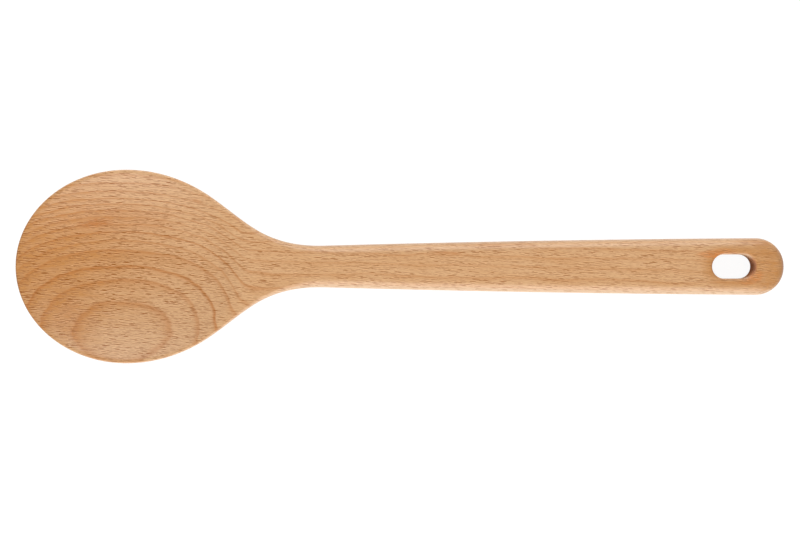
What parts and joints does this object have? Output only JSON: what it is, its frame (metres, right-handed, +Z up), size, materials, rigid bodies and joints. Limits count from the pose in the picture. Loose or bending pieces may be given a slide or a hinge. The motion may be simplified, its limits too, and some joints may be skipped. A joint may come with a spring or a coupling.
{
  "type": "wooden spoon",
  "caption": "Wooden cooking spoon carved from one board: shallow oval bowl, long flat handle with rounded edges and a hanging slot.",
  "frame": {"origin": "on the resting surface, below the middle of the spoon's box", "axes": "+X along the spoon to the end of the handle, -X to the tip of the bowl; +Z up, out of the hollow of the bowl, as the spoon lies at rest"},
  "size_m": [0.2998, 0.0754, 0.015],
  "materials": {
    "beech": "smooth sanded beech, bare or lightly oiled, with fine dark ray flecks and growth rings that show as ovals in the bowl"
  },
  "bodies": {
    "root": {"spoon": "beech"}
  },
  "joints": []
}
